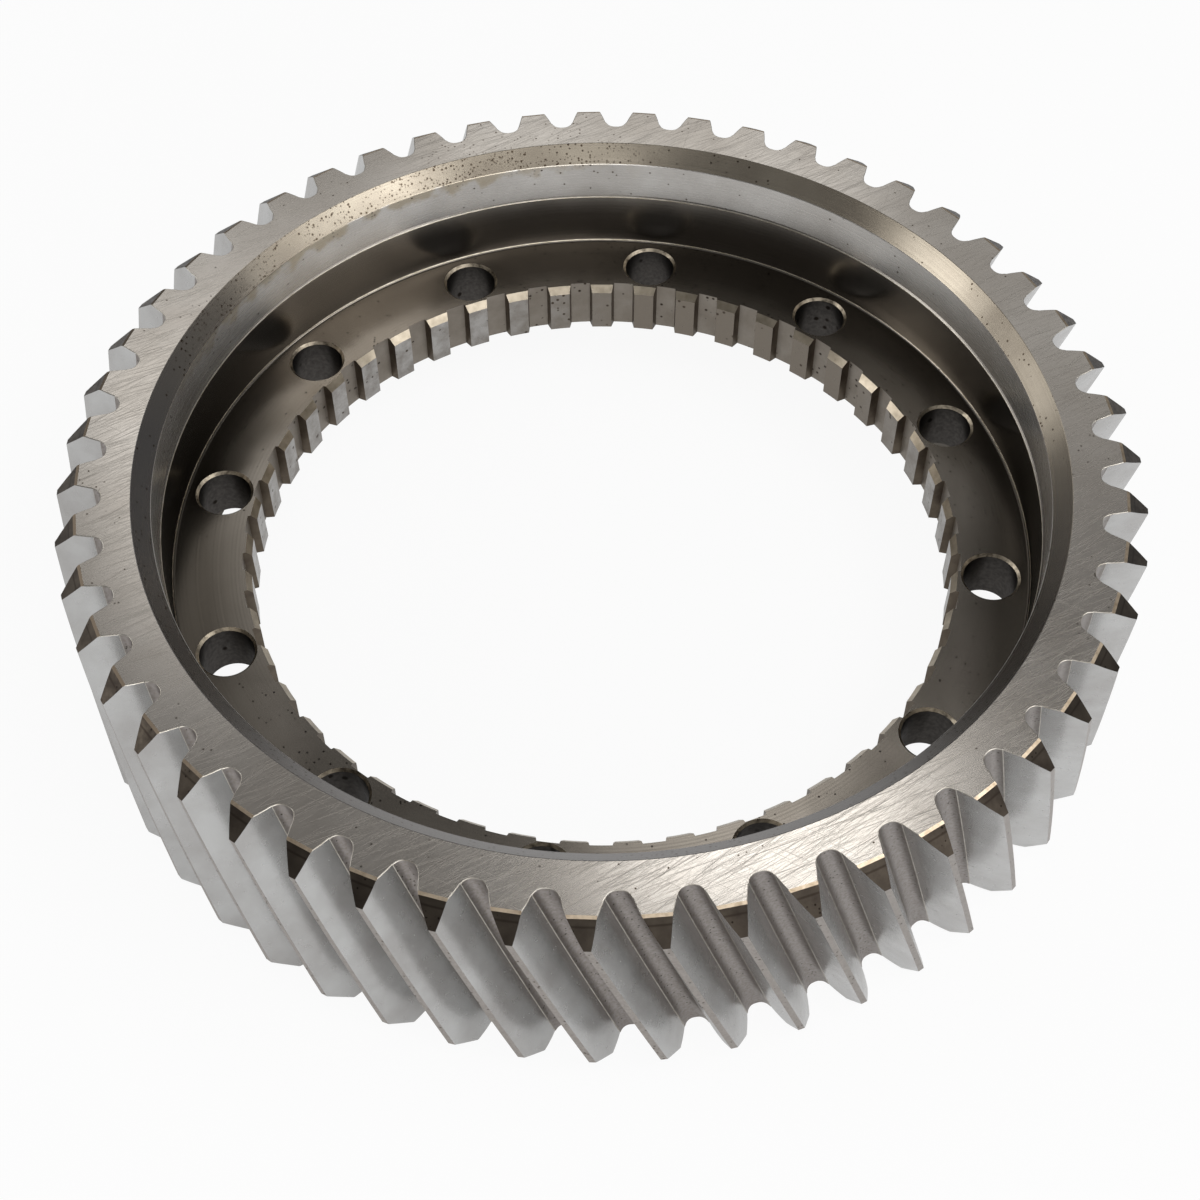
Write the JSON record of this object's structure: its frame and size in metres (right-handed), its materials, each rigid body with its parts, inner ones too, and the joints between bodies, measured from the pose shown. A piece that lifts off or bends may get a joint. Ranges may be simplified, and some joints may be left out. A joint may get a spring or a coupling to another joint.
{
  "type": "bull gear",
  "caption": "Large left-hand helical bull gear ring: a toothed steel rim round a recessed web with a circle of bolt holes and an internal spline.",
  "frame": {"origin": "centre of the underside, the plane that the ring rests on", "axes": "+Z along the gear's axis towards the deep recess, +X through the middle of a tooth on the top face"},
  "size_m": [0.3362, 0.3362, 0.0819],
  "materials": {
    "gear_steel": "turned, ground and oiled gear steel"
  },
  "bodies": {
    "root": {"bull_gear": "gear_steel"}
  },
  "joints": []
}
